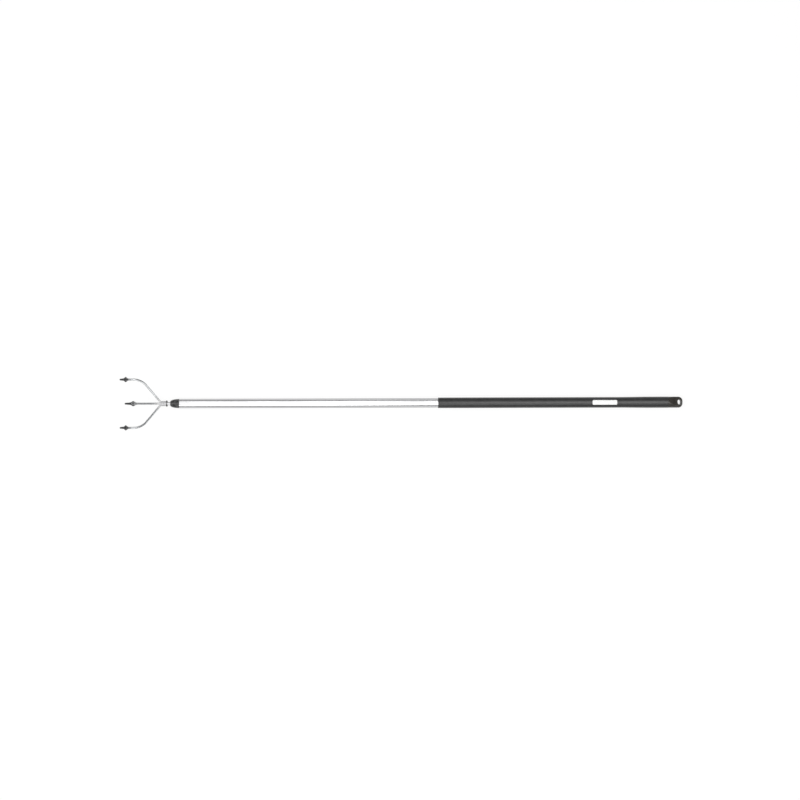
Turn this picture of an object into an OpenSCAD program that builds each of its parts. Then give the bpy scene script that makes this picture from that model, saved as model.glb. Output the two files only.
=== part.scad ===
// Long handled cultivator claw: three riveted tips on bent steel tines, an aluminium tube, a plastic grip.
// It lies level on its three points and on the back of its grip. +X runs from the claw to the hang hole,
// +Y across the tines and +Z up. Left and right are those of a person who holds the grip.
// Lengths are in millimetres, and stations along the shaft count from the front edge of the tube.

/* [Shaft tube] */
// Outside diameter of the tube
tube_d = 25.6; // [22:0.1:30]
// Wall of the tube
tube_wall = 1.2; // [0.8:0.1:2.5]
// Bare length between the nose cap and the grip
bare_len = 724; // [300:1:1100]

/* [Grip] */
// Length of the grip sleeve
grip_len = 644; // [300:1:900]
// Wall of the sleeve along its slim front
grip_wall = 1.85; // [1.2:0.05:4]
// Extra wall of the sleeve at its back
grip_swell = 0.8; // [0.2:0.1:3]
// Length of the thick back of the sleeve
grip_back_len = 50; // [20:1:100]
// Length over which the sleeve swells
swell_len = 90; // [40:1:150]
// Bevel on the front edge of the sleeve
grip_bevel = 0.8; // [0.2:0.1:1.1]
// Length of the blank label
label_len = 69; // [30:1:120]
// Width of the label seen from above
label_w = 13.2; // [8:0.1:20]
// Corner radius of the label
label_corner = 2.8; // [0.5:0.1:4]
// Thickness of the label
label_t = 0.25; // [0.1:0.05:0.6]
// Distance from the label to the start of the swell
label_gap = 3.4; // [0:0.1:60]

/* [End cap] */
// Length of the end cap behind the sleeve
cap_len = 40; // [38:1:60]
// Step down from the sleeve to the end cap
cap_step = 0.25; // [0.1:0.05:1]
// Radius of the rounded end
cap_round = 11.8; // [4:0.1:13]
// Length of the spigot inside the tube
cap_spigot_len = 35; // [15:1:80]
// Wall of the spigot
cap_spigot_wall = 2.5; // [1.5:0.1:6]
// Distance from the sleeve to the start of the slanted face
facet_start = 1; // [0.5:0.1:6]
// Slope of the slanted face along the shaft
facet_slope = 28; // [18:1:30]
// Depth at which the slanted face turns level
facet_depth = 8.5; // [5:0.1:12]
// Turn of the slanted face about the shaft
facet_turn = 26; // [0:1:45]
// Width of the oval hang hole across the shaft
hang_w = 14.2; // [13:0.1:20]
// Length of the oval hang hole along the shaft
hang_l = 11; // [8:0.1:12]
// Distance from the sleeve to the middle of the hang hole
hang_at = 30; // [26:0.1:31]
// Lean of the hang hole toward the end
hang_lean = 12; // [0:1:18]

/* [Nose cap and tang] */
// Length of the nose cap ahead of the tube
nose_len = 25; // [15:1:50]
// Width of the rim round the mouth of the nose cap
nose_rim = 0.3; // [0.2:0.1:3]
// Length of the nose cap spigot inside the tube
nose_spigot_len = 18; // [10:1:40]
// Diameter of the tang
tang_d = 10; // [8:0.1:11]
// Bare length of the tang between the hub and the nose cap
neck_len = 10.5; // [4:0.5:40]
// Reach of the tang inside the tube
tang_reach = 70; // [60:1:140]
// Length of the bush past the end of the tang
bush_past = 5; // [0:1:30]
// Diameter of the cross pin
pin_d = 4; // [3:0.1:5]
// Distance from the back of the nose cap spigot to the cross pin
pin_at = 27; // [8:1:30]

/* [Hub] */
// Diameter of the hub
hub_d = 14; // [13.5:0.1:24]
// Length of the hub
hub_len = 18; // [17:0.5:40]
// Bevel on both ends of the hub
hub_bevel = 1.2; // [0.3:0.1:2]
// Depth inside the hub at which the tines meet
root_depth = 5; // [3:0.1:5.2]
// Diameter of the tang spigot in the hub
hub_spigot_d = 8; // [5:0.1:9]
// Length of the tang spigot in the hub
hub_spigot_len = 7.5; // [4:0.1:7.8]
// Room for weld metal round the roots of the tines
weld_room = 0.6; // [0.4:0.1:0.8]

/* [Tines] */
// Diameter of the tine rods
rod_d = 6; // [5:0.1:6.5]
// Distance from the shaft axis to each outer tine
tine_spread = 67.5; // [50:0.5:90]
// Angle between the shaft and an outer tine at the hub, seen from above
splay_angle = 50.5; // [42:0.5:58]
// Bend radius where an outer tine turns along the shaft
splay_bend_r = 44; // [15:1:50]
// Straight stretch of an outer tine between its two bends
outer_run = 5.5; // [1:0.5:40]
// Climb of the center tine from the hub
rise_angle = 19.7; // [16:0.1:32]
// Bend radius of the outer hooks
outer_bend_r = 14; // [10:1:24]
// Bend radius of the center hook
center_bend_r = 7; // [6:0.5:16]
// Angle of the outer hooks below the level
outer_hook_angle = 60; // [45:1:75]
// Angle of the center hook below the level
center_hook_angle = 45; // [35:1:70]
// Straight stretch over which a rod is flattened
ramp_len = 3; // [2:0.5:8]
// Extra thickness of a rod in its bends
bend_swell = 0.1; // [0.06:0.02:0.4]
// Length of the flattened rod end
pad_len = 15; // [13:0.5:24]
// Width of the flattened rod end
pad_w = 7.5; // [6.5:0.1:9]
// Thickness of the flattened rod end
pad_t = 3.2; // [2:0.1:4.5]

/* [Tips] */
// Length of a tip
tip_len = 46; // [32:0.5:70]
// Width of a tip at its wings
tip_w = 15; // [12:0.1:24]
// Width of a tip at its back edge
tip_back_w = 6.4; // [4:0.1:10]
// Distance from the back edge to the widest place
wing_at = 13; // [10:0.5:16]
// Length of the hollow flank ahead of the wings
flank_len = 13.5; // [6:0.5:15]
// Width of the nib behind the flank
nib_w = 6.2; // [5:0.1:8]
// Width of the nib at the point
point_w = 4.6; // [1:0.1:4.9]
// Thickness of a tip
tip_t = 3; // [2:0.1:5]
// Thickness of a tip at the point
point_t = 0.9; // [0.4:0.1:1.8]
// Thickness of the wings at their edge
edge_t = 1; // [0.4:0.1:1.8]
// Length of the taper toward the point
taper_len = 24; // [8:0.5:30]
// Diameter of the rivet shanks
rivet_d = 3.2; // [2:0.1:4]
// Diameter of the rivet heads
rivet_head_d = 6; // [4.2:0.1:6.4]
// Height of the rivet heads
rivet_head_h = 1.4; // [0.5:0.1:2]
// Distance from the end of the flattening to the rivet
rivet_at = 8; // [6:0.1:9]

/* [Clearances] */
// Gap between the sleeve and the tube
sleeve_fit = 0.05; // [0.02:0.01:0.3]
// Gap between the tube bore and what plugs it
plug_fit = 0.05; // [0.02:0.01:0.3]
// Gap round the tang
tang_fit = 0.1; // [0.02:0.01:0.3]
// Gap round the cross pin and the rivets
pin_fit = 0.05; // [0.02:0.01:0.3]
// Gap round the tines and the tang spigot in the hub
weld_gap = 0.1; // [0.02:0.01:0.2]
// Gap between the end of the tube and the end cap
tube_end_gap = 0.5; // [0.1:0.1:3]
// Gap between the flattening of a rod and the back edge of its tip
tip_gap = 0.5; // [0.1:0.1:2]
// Adhesive film under the label
label_film = 0.05; // [0.02:0.01:0.2]
// Margin of the flat land on a tip round the flattened rod end
land_margin = 0.5; // [0.1:0.1:1.5]

/* [Hidden] */
$fn = 96;
// Overlap of a cut past the face that it opens
past = 1;
// Steps along the curves that are drawn point by point
curve_steps = 12;
// Length of straight rod that lies inside a bend
bend_lap = 0.4;
// Width of the flattened end where it starts inside the rod
pad_root_w = 0.8 * rod_d;

// Diameters that follow from the tube and the clearances
tube_bore = tube_d - 2 * tube_wall;
plug_d = tube_bore - 2 * plug_fit;
grip_bore = tube_d + 2 * sleeve_fit;
grip_d = grip_bore + 2 * grip_wall;
grip_back_d = grip_d + 2 * grip_swell;
cap_d = grip_back_d - 2 * cap_step;
tang_hole_d = tang_d + 2 * tang_fit;
pin_hole_d = pin_d + 2 * pin_fit;
rivet_hole_d = rivet_d + 2 * pin_fit;

// Distance from the front of the sleeve to the start of its swell
swell_at = grip_len - grip_back_len - swell_len;

// Stations along the shaft
cap_x = bare_len + grip_len;
end_x = cap_x + cap_len;
tube_len = cap_x - tube_end_gap;
bush_end = tang_reach + bush_past;
pin_x = nose_spigot_len + pin_at;
hub_back = -nose_len - neck_len;
hub_front = hub_back - hub_len;
root = [hub_front + root_depth, 0, 0];

// Height of the shaft axis above the ground
axis_h = grip_back_d / 2;

// Directions of a hook that points down by an angle, along the rod and out of its upper face
function hook_along(angle) = [-cos(angle), 0, -sin(angle)];
function hook_up(angle) = [-sin(angle), 0, cos(angle)];

// Length from the corner of a hook to its point, and the corner's height that sets the point on the ground
function hook_len(setback) = setback + ramp_len + tip_gap + tip_len;
function hook_height(setback, angle) =
    hook_len(setback) * sin(angle) + (pad_t / 2 + point_t) * cos(angle) - axis_h;

// Corners of the center tine: hub, top of the hook, start of the flattened end
center_setback = center_bend_r * tan((rise_angle + center_hook_angle) / 2);
center_top_z = hook_height(center_setback, center_hook_angle);
center_top = root + [-center_top_z / tan(rise_angle), 0, center_top_z];
center_pad = center_top
    + (center_setback + ramp_len) * hook_along(center_hook_angle);
center_path = [root, center_top, center_pad];

// Corners of an outer tine: hub, splay bend, top of the hook, start of the flattened end
outer_setback = outer_bend_r * tan(outer_hook_angle / 2);
outer_top_z = hook_height(outer_setback, outer_hook_angle);
splay_x = root[0] - tine_spread / tan(splay_angle);
splay_turn = acos(unit([tine_spread / tan(splay_angle), tine_spread, outer_top_z])[0]);
outer_top_x = splay_x - splay_bend_r * tan(splay_turn / 2) - outer_run - outer_setback;
function outer_top(side) = [outer_top_x, side * tine_spread, outer_top_z];
function outer_pad(side) = outer_top(side)
    + (outer_setback + ramp_len) * hook_along(outer_hook_angle);
function outer_path(side) =
    [root, [splay_x, side * tine_spread, outer_top_z], outer_top(side), outer_pad(side)];
left = -1;
right = 1;

// Directions in which the tines leave the hub
center_way = unit(center_top - root);
function outer_way(side) = unit(outer_path(side)[1] - root);

// Foremost point of the claw, and the middle of the whole length
function point_x(pad, angle) =
    pad[0] - (tip_gap + tip_len) * cos(angle) + pad_t / 2 * sin(angle);
front_x = min(point_x(center_pad, center_hook_angle), point_x(outer_pad(left), outer_hook_angle));
mid_x = (front_x + end_x) / 2;

function unit(v) = v / norm(v);
function side_of(v) = unit(cross(v, abs(v[2]) < abs(v[0]) ? [0, 0, 1] : [1, 0, 0]));
function axes_to(o, x, y, z) = [
    [x[0], y[0], z[0], o[0]],
    [x[1], y[1], z[1], o[1]],
    [x[2], y[2], z[2], o[2]],
    [0, 0, 0, 1]
];

// Sets the shaft down on the ground, with the middle of its length over the origin
module rest() {
    translate([-mid_x, 0, axis_h]) children();
}

// Turns a shape that stands along Z so that it lies along the shaft, from a station on
module along_shaft(x) {
    translate([x, 0, 0]) rotate([0, 90, 0]) children();
}

// Straight round rod between two points
module rod(a, b, d) {
    way = unit(b - a);
    side = side_of(way);
    multmatrix(axes_to(a, side, cross(way, side), way)) cylinder(d = d, h = norm(b - a));
}

// Round bend that joins two directions at a corner
module bend(corner, from, to, r, d) {
    turn = acos(from * to);
    inward = unit(to - from * (from * to));
    centre = corner - from * r * tan(turn / 2) + inward * r;
    multmatrix(axes_to(centre, -inward, from, cross(-inward, from)))
        rotate_extrude(angle = turn) translate([r, 0]) circle(d = d);
}

// Straight stretches and bends of a rod along a path, with a bend radius for each inner corner.
// A bend is a little thicker than the rod, and the stretches reach a little way into it.
function ways(path) = [for (i = [1:len(path) - 1]) unit(path[i] - path[i - 1])];
function setback(path, radii, i) =
    i == 0 || i == len(path) - 1
    ? 0
    : radii[i - 1] * tan(acos(ways(path)[i - 1] * ways(path)[i]) / 2) - bend_lap;
module stretch(path, radii, i, d) {
    way = ways(path)[i];
    rod(path[i] + way * setback(path, radii, i), path[i + 1] - way * setback(path, radii, i + 1), d);
}
module bends(path, radii, d) {
    way = ways(path);
    for (i = [1:len(path) - 2])
        bend(path[i], way[i - 1], way[i], radii[i - 1], d + bend_swell);
}

// Places a shape on a flattened rod end: X along the rod, Z out of its upper face
module at_pad(pad, angle) {
    multmatrix(axes_to(pad, hook_along(angle), [0, -1, 0], hook_up(angle))) children();
}

// Flattened rod end with the rivet hole
module pad_blank() {
    round_x = pad_len - pad_w / 2;
    translate([0, 0, -pad_t / 2]) {
        linear_extrude(pad_t)
            polygon([
                [-ramp_len, -pad_root_w / 2], [0, -pad_w / 2], [round_x, -pad_w / 2],
                [round_x, pad_w / 2], [0, pad_w / 2], [-ramp_len, pad_root_w / 2]
            ]);
        translate([round_x, 0, 0]) cylinder(d = pad_w, h = pad_t);
    }
}
module rivet_hole() {
    hole_len = 2 * (pad_t + tip_t);
    translate([rivet_at, 0, -hole_len / 2]) cylinder(d = rivet_hole_d, h = hole_len);
}

// Space above and below the ramps that lead from the round rod to the flattened end
module ramp_cuts() {
    for (flip = [0, 1]) mirror([0, 0, flip])
        rotate([90, 0, 0]) linear_extrude(2 * pad_w, center = true)
            polygon([
                [-2 * ramp_len, rod_d - pad_t / 2], [0, pad_t / 2], [past, pad_t / 2],
                [past, rod_d], [-2 * ramp_len, rod_d]
            ]);
}

// Space beyond the plane on which a tine meets its neighbour at the root
module mitre_cut(way, neighbour) {
    cut = 4 * rod_d;
    normal = unit(way - neighbour);
    side = side_of(normal);
    multmatrix(axes_to(root, normal, side, cross(normal, side)))
        translate([-cut, -cut / 2, -cut / 2]) cube(cut);
}

// Tine with its mitred root, its bends, its ramps and its flattened and drilled end
module tine(path, radii, angle, neighbours) {
    last = len(path) - 2;
    pad = path[last + 1];
    difference() {
        stretch(path, radii, 0, rod_d);
        for (neighbour = neighbours) mitre_cut(ways(path)[0], neighbour);
    }
    for (i = [1:1:last - 1]) stretch(path, radii, i, rod_d);
    bends(path, radii, rod_d);
    difference() {
        stretch(path, radii, last, rod_d);
        at_pad(pad, angle) ramp_cuts();
    }
    at_pad(pad, angle) difference() {
        pad_blank();
        rivet_hole();
    }
}

// Half of a tip's outline: straight behind the wings, hollow along the flank, straight along the nib
function flank_half(s) = nib_w / 2 + (tip_w - nib_w) / 2 * pow(1 - s, 2);
function tip_half() = concat(
    [[0, tip_back_w / 2]],
    [for (i = [0:curve_steps])
        [wing_at + flank_len * i / curve_steps, flank_half(i / curve_steps)]],
    [[tip_len - point_w / 2, point_w / 2]]
);
function mirrored(half) = [for (i = [len(half) - 1:-1:0]) [half[i][0], -half[i][1]]];

// Forged tip under the flattened end: outline, side taper and bevelled wings in one
module tip() {
    land = pad_w + 2 * land_margin;
    difference() {
        translate([tip_gap, 0, -pad_t / 2]) intersection() {
            translate([0, 0, -tip_t]) union() {
                linear_extrude(tip_t) polygon(concat(tip_half(), mirrored(tip_half())));
                translate([tip_len - point_w / 2, 0, 0]) cylinder(d = point_w, h = tip_t);
            }
            rotate([90, 0, 0]) linear_extrude(tip_w + 2 * past, center = true)
                polygon([
                    [0, 0], [tip_len, 0], [tip_len, -point_t], [tip_len - taper_len, -tip_t], [0, -tip_t]
                ]);
            rotate([90, 0, 90]) linear_extrude(tip_len)
                polygon([
                    [-tip_w / 2, -tip_t], [tip_w / 2, -tip_t], [tip_w / 2, edge_t - tip_t],
                    [land / 2, 0], [-land / 2, 0], [-tip_w / 2, edge_t - tip_t]
                ]);
        }
        rivet_hole();
    }
}

// Rivet through the flattened end and the tip, with a domed head on both faces
module dome(d, h) {
    r = (pow(d / 2, 2) + h * h) / (2 * h);
    intersection() {
        translate([0, 0, h - r]) sphere(r);
        cylinder(d = d + past, h = h);
    }
}
module rivet() {
    translate([rivet_at, 0, 0]) {
        translate([0, 0, -pad_t / 2 - tip_t]) cylinder(d = rivet_d, h = pad_t + tip_t);
        translate([0, 0, pad_t / 2]) dome(rivet_head_d, rivet_head_h);
        translate([0, 0, -pad_t / 2 - tip_t]) mirror([0, 0, 1]) dome(rivet_head_d, rivet_head_h);
    }
}

module center_tine() {
    color("darkgray") rest()
        tine(center_path, [center_bend_r], center_hook_angle, [outer_way(left), outer_way(right)]);
}

module outer_tine(side) {
    color("darkgray") rest()
        tine(outer_path(side), [splay_bend_r, outer_bend_r], outer_hook_angle, [center_way, outer_way(-side)]);
}
module left_tine() {
    outer_tine(left);
}
module right_tine() {
    outer_tine(right);
}

module center_tip() {
    color("dimgray") rest() at_pad(center_pad, center_hook_angle) tip();
}
module outer_tip(side) {
    color("dimgray") rest() at_pad(outer_pad(side), outer_hook_angle) tip();
}
module left_tip() {
    outer_tip(left);
}
module right_tip() {
    outer_tip(right);
}

module tip_rivets() {
    color("gray") rest() {
        at_pad(center_pad, center_hook_angle) rivet();
        for (side = [left, right]) at_pad(outer_pad(side), outer_hook_angle) rivet();
    }
}

// Turned collar into which the three tines and the tang are welded
module claw_hub() {
    socket_d = rod_d + 2 * weld_gap;
    socket_len = hub_len + hub_d;
    color("silver") rest() difference() {
        along_shaft(hub_front) {
            cylinder(d1 = hub_d - 2 * hub_bevel, d2 = hub_d, h = hub_bevel);
            translate([0, 0, hub_bevel]) cylinder(d = hub_d, h = hub_len - 2 * hub_bevel);
            translate([0, 0, hub_len - hub_bevel])
                cylinder(d1 = hub_d, d2 = hub_d - 2 * hub_bevel, h = hub_bevel);
        }
        translate(root) sphere(d = socket_d + 2 * weld_room);
        for (way = [center_way, outer_way(left), outer_way(right)])
            rod(root, root + way * socket_len, socket_d);
        along_shaft(hub_back - hub_spigot_len - weld_gap)
            cylinder(d = hub_spigot_d + 2 * weld_gap, h = hub_spigot_len + weld_gap + past);
    }
}

module pin_hole() {
    rotate([90, 0, 0]) cylinder(d = pin_hole_d, h = tube_d + 2 * past, center = true);
}

// Tang from the hub through the nose cap to the bush, drilled across for the pin
module tang() {
    color("silver") rest() difference() {
        union() {
            along_shaft(hub_back) cylinder(d = tang_d, h = tang_reach - hub_back);
            along_shaft(hub_back - hub_spigot_len) cylinder(d = hub_spigot_d, h = hub_spigot_len + past);
        }
        translate([pin_x, 0, 0]) pin_hole();
    }
}

// Moulded nose that closes the front of the tube: a quarter ellipse turned about the shaft
module nose_cap() {
    tip_r = tang_hole_d / 2 + nose_rim;
    rise = tube_d / 2 - tip_r;
    nose = [for (i = [0:curve_steps]) let (a = 90 * i / curve_steps)
        [tip_r + rise * sin(a), nose_len * (1 - cos(a))]];
    color("#2e2e2e") rest() difference() {
        union() {
            along_shaft(-nose_len) rotate_extrude()
                polygon(concat([[0, 0]], nose, [[0, nose_len]]));
            along_shaft(-past) cylinder(d = plug_d, h = nose_spigot_len + past);
        }
        along_shaft(-nose_len - past) cylinder(d = tang_hole_d, h = nose_len + nose_spigot_len + 2 * past);
    }
}

// Bush that centres the tang in the tube
module tang_bush() {
    bush_len = bush_end - nose_spigot_len;
    color("#3a3a3a") rest() difference() {
        along_shaft(nose_spigot_len) cylinder(d = plug_d, h = bush_len);
        along_shaft(nose_spigot_len - past) cylinder(d = tang_hole_d, h = bush_len + 2 * past);
        translate([pin_x, 0, 0]) pin_hole();
    }
}

// Cross pin through the tube, the bush and the tang
module tang_pin() {
    color("gray") rest() translate([pin_x, 0, 0])
        rotate([90, 0, 0]) cylinder(d = pin_d, h = tube_d, center = true);
}

module tube() {
    color("gainsboro") rest() difference() {
        along_shaft(0) cylinder(d = tube_d, h = tube_len);
        along_shaft(-past) cylinder(d = tube_bore, h = tube_len + 2 * past);
        translate([pin_x, 0, 0]) pin_hole();
    }
}

// Grip sleeve: slim at the front, swelling toward the back
module grip_sleeve() {
    color("#3c3c3e") rest() along_shaft(bare_len) rotate_extrude()
        polygon([
            [grip_bore / 2, 0], [grip_d / 2 - grip_bevel, 0], [grip_d / 2, grip_bevel], [grip_d / 2, swell_at],
            [grip_back_d / 2, swell_at + swell_len], [grip_back_d / 2, grip_len], [grip_bore / 2, grip_len]
        ]);
}

// Blank label on the upper side of the slim part of the sleeve
module grip_label() {
    label_r = grip_d / 2 + label_film;
    color("white") rest() translate([bare_len + swell_at - label_gap - label_len, 0, 0]) intersection() {
        difference() {
            along_shaft(0) cylinder(r = label_r + label_t, h = label_len);
            along_shaft(-past) cylinder(r = label_r, h = label_len + 2 * past);
        }
        linear_extrude(grip_d) {
            translate([label_corner, -label_w / 2]) square([label_len - 2 * label_corner, label_w]);
            translate([0, label_corner - label_w / 2]) square([label_len, label_w - 2 * label_corner]);
            for (x = [label_corner, label_len - label_corner], y = [-1, 1])
                translate([x, y * (label_w / 2 - label_corner)]) circle(label_corner);
        }
    }
}

// Half section of the end cap, with its rounded end and its hollow spigot
module cap_section() {
    r = cap_d / 2;
    square([r, cap_len - cap_round]);
    square([r - cap_round, cap_len]);
    intersection() {
        translate([r - cap_round, cap_len - cap_round]) circle(cap_round);
        square([r, cap_len]);
    }
    translate([plug_d / 2 - cap_spigot_wall, -cap_spigot_len])
        square([cap_spigot_wall, cap_spigot_len + past]);
}

// End cap with its slanted face and the oval hang hole
module end_cap() {
    cut = 2 * cap_len;
    flat_w = hang_w - hang_l;
    color("#2a2826") rest() translate([cap_x, 0, 0]) difference() {
        along_shaft(0) rotate_extrude() cap_section();
        rotate([-facet_turn, 0, 0]) intersection() {
            translate([facet_start, 0, cap_d / 2]) rotate([0, facet_slope, 0])
                translate([0, -cut / 2, 0]) cube(cut);
            translate([0, -cut / 2, cap_d / 2 - facet_depth]) cube(cut);
        }
        translate([hang_at, 0, 0]) rotate([0, hang_lean, 0]) linear_extrude(cut, center = true) {
            square([hang_l, flat_w], center = true);
            for (y = [-1, 1]) translate([0, y * flat_w / 2]) circle(d = hang_l);
        }
    }
}

center_tine();
left_tine();
right_tine();
center_tip();
left_tip();
right_tip();
tip_rivets();
claw_hub();
tang();
nose_cap();
tang_bush();
tang_pin();
tube();
grip_sleeve();
grip_label();
end_cap();
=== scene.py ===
import bmesh
import bpy
import numpy as np
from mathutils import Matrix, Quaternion, Vector


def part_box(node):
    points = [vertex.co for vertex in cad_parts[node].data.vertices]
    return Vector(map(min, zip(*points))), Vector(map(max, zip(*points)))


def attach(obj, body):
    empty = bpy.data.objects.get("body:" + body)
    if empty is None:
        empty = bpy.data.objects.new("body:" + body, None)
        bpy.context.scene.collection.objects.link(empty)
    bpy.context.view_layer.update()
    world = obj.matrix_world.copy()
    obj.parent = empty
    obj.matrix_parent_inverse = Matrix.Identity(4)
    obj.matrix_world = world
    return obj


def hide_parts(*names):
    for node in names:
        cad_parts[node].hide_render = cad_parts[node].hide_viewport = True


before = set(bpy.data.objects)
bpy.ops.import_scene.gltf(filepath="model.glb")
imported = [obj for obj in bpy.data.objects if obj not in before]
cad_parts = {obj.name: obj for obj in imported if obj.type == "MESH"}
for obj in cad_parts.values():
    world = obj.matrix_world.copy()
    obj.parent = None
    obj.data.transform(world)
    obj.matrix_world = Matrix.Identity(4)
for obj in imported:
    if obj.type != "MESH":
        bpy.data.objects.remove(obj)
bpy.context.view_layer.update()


# Claw hub
# A short collar turned from mild steel bar, which the three tines and the tang are welded into.
# Its edges are chamfered, and the turning tool has left fine rings round it.
MM = 0.001
axis_z = sum(corner.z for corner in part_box("tube")) / 2
hub_low, hub_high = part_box("claw_hub")
hub_r = (hub_high.z - hub_low.z) / 2
hub_edge = 1.2 * MM
touch = 0.001 * MM
dull_steel = (0.59, 0.59, 0.60)
dull_steel_dark = (0.51, 0.51, 0.52)


def eased(corners, cut, steps=8, hold=1.5, least=1e-9):
    """Closed outline through corners, or a whole row of such outlines. Each corner gives way to the
    parabola between the points that lie its cut before and after it, with one more point on each
    side, hold cuts away, that keeps the flats flat. No run counts as shorter than the least one."""
    corners = np.asarray(corners, float)
    cut = np.broadcast_to(cut, corners.shape[:-1])[..., None]
    back = np.roll(corners, 1, axis=-2) - corners
    ahead = np.roll(corners, -1, axis=-2) - corners
    back = back / np.maximum(np.linalg.norm(back, axis=-1, keepdims=True), least)
    ahead = ahead / np.maximum(np.linalg.norm(ahead, axis=-1, keepdims=True), least)
    t = np.linspace(0, 1, steps + 1)[:, None]
    start = (corners + back * cut)[..., None, :]
    stop = (corners + ahead * cut)[..., None, :]
    curve = (1 - t) ** 2 * start + 2 * t * (1 - t) * corners[..., None, :] + t ** 2 * stop
    before = (corners + hold * back * cut)[..., None, :]
    after = (corners + hold * ahead * cut)[..., None, :]
    whole = np.concatenate([before, curve, after], axis=-2)
    return whole.reshape(*corners.shape[:-2], -1, corners.shape[-1])


def barrel(low_x, high_x, bore_r, outer_r, edge):
    """Outline of a turned barrel with eased edges, or of a solid bar where the bore is 0: its wall
    runs between two radii from one end to the other."""
    bore_edge = edge if bore_r else 0
    return eased(
        [(low_x, bore_r), (low_x, outer_r), (high_x, outer_r), (high_x, bore_r)],
        [bore_edge, edge, edge, bore_edge],
    )


def turned(outline, sides, foot=(0, 0, axis_z), along=(1, 0, 0), side=(0, 0, 1)):
    """Rings of a turned part: an outline point (x, r) lies x along the axis from its foot and r out
    from it, once for each of the sides round the axis."""
    turn = np.linspace(0, 2 * np.pi, sides, endpoint=False)[:, None]
    spoke = np.cos(turn) * np.array(side) + np.sin(turn) * np.cross(along, side)
    outline = np.asarray(outline)[:, None, :]
    return np.array(foot) + outline[..., :1] * np.array(along) + outline[..., 1:] * spoke


def skin(name, grids, loop=True, marks=None):
    """Piece made of grids of points. Four neighbours make a face; the second index runs round, and
    the first one too where loop is set. Points that meet are merged, which closes seams and poles,
    and faces are turned outwards. Marks are named values kept on the points."""
    faces = []
    first = 0
    for grid in grids:
        rows, columns = grid.shape[:2]
        i = np.arange(rows if loop else rows - 1)[:, None]
        j = np.arange(columns)[None, :]
        i_next = (i + 1) % rows
        j_next = (j + 1) % columns
        corners = (i * columns + j, i * columns + j_next, i_next * columns + j_next, i_next * columns + j)
        faces.append(first + np.stack(corners, axis=-1).reshape(-1, 4))
        first += rows * columns
    points = np.concatenate([grid.reshape(-1, 3) for grid in grids])
    return sewn(name, points, np.concatenate(faces), marks)


def sewn(name, points, faces, marks=None):
    """Object from points and faces: points that touch are merged, loose edges removed, and the faces
    of the closed skin turned outwards."""
    mesh = bpy.data.meshes.new(name)
    mesh.from_pydata(points.tolist(), [], faces.tolist())
    for mark, values in (marks or {}).items():
        kind, field = ("FLOAT_VECTOR", "vector") if values.ndim == 2 else ("FLOAT", "value")
        mesh.attributes.new(mark, kind, "POINT").data.foreach_set(field, values.ravel())
    skin_mesh = bmesh.new()
    skin_mesh.from_mesh(mesh)
    bmesh.ops.remove_doubles(skin_mesh, verts=skin_mesh.verts, dist=touch)
    loose = [edge for edge in skin_mesh.edges if not edge.link_faces]
    bmesh.ops.delete(skin_mesh, geom=loose, context="EDGES")
    bmesh.ops.recalc_face_normals(skin_mesh, faces=skin_mesh.faces)
    skin_mesh.to_mesh(mesh)
    skin_mesh.free()
    mesh.shade_smooth()
    piece = bpy.data.objects.new(name, mesh)
    bpy.context.collection.objects.link(piece)
    return piece


def plain_finish(name, colour, roughness, metallic=0.0, specular=0.5):
    """New material whose shader has these values all over the surface."""
    made = bpy.data.materials.new(name)
    made.use_nodes = True
    shade = made.node_tree.nodes["Principled BSDF"]
    shade.inputs["Base Color"].default_value = (*colour, 1)
    shade.inputs["Roughness"].default_value = roughness
    shade.inputs["Metallic"].default_value = metallic
    shade.inputs["Specular IOR Level"].default_value = specular
    return made


def wire(made, kind, inputs, **settings):
    """Adds a node to a material and feeds its inputs with values or with other nodes' outputs."""
    node = made.node_tree.nodes.new("ShaderNode" + kind)
    for name, value in settings.items():
        setattr(node, name, value)
    for name, value in inputs.items():
        if isinstance(value, bpy.types.NodeSocket):
            made.node_tree.links.new(value, node.inputs[name])
        else:
            node.inputs[name].default_value = value
    return node


def drive(made, **outputs):
    """Links outputs to the shader's sockets of the same names, with underscores for spaces."""
    shade = made.node_tree.nodes["Principled BSDF"]
    for name, output in outputs.items():
        made.node_tree.links.new(output, shade.inputs[name.replace("_", " ")])


def grain(made, size, stretch=(1, 1, 1), mark=None, detail=3.0):
    """Noise from 0 to 1 with grains of that size in metres, longer by the stretch on each axis. It
    lies in object coordinates, or in the straight coordinates that a mark keeps on the points."""
    if mark:
        where = wire(made, "Attribute", {}, attribute_name=mark).outputs["Vector"]
    else:
        where = wire(made, "TexCoord", {}).outputs["Object"]
    scale = [1 / length for length in stretch]
    laid = wire(made, "Mapping", {"Vector": where, "Scale": scale}).outputs["Vector"]
    return wire(made, "TexNoise", {"Vector": laid, "Scale": 1 / size, "Detail": detail}).outputs["Fac"]


def between(made, value, low, high, start=0.35, stop=0.65):
    """Number that goes from low to high as the value goes from start to stop."""
    ends = {"From Min": start, "From Max": stop, "To Min": low, "To Max": high}
    return wire(made, "MapRange", {"Value": value, **ends}).outputs["Result"]


def tinted(made, value, dark, light, start=0.35, stop=0.65):
    """Colour that goes from dark to light as the value goes from start to stop."""
    ramp = wire(made, "ValToRGB", {"Fac": value})
    for place, at, colour in zip(ramp.color_ramp.elements, (start, stop), (dark, light)):
        place.position = at
        place.color = (*colour, 1)
    return ramp.outputs["Color"]


def patched(made, share, under, over):
    """Colour that goes from under to over as the share goes from 0 to 1."""
    return wire(made, "MixRGB", {"Fac": share, "Color1": under, "Color2": over}).outputs["Color"]


def relief(made, height, depth):
    """Surface normal roughened by a height from 0 to 1 that stands for that depth in metres."""
    return wire(made, "Bump", {"Height": height, "Distance": depth}).outputs["Normal"]


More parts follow.
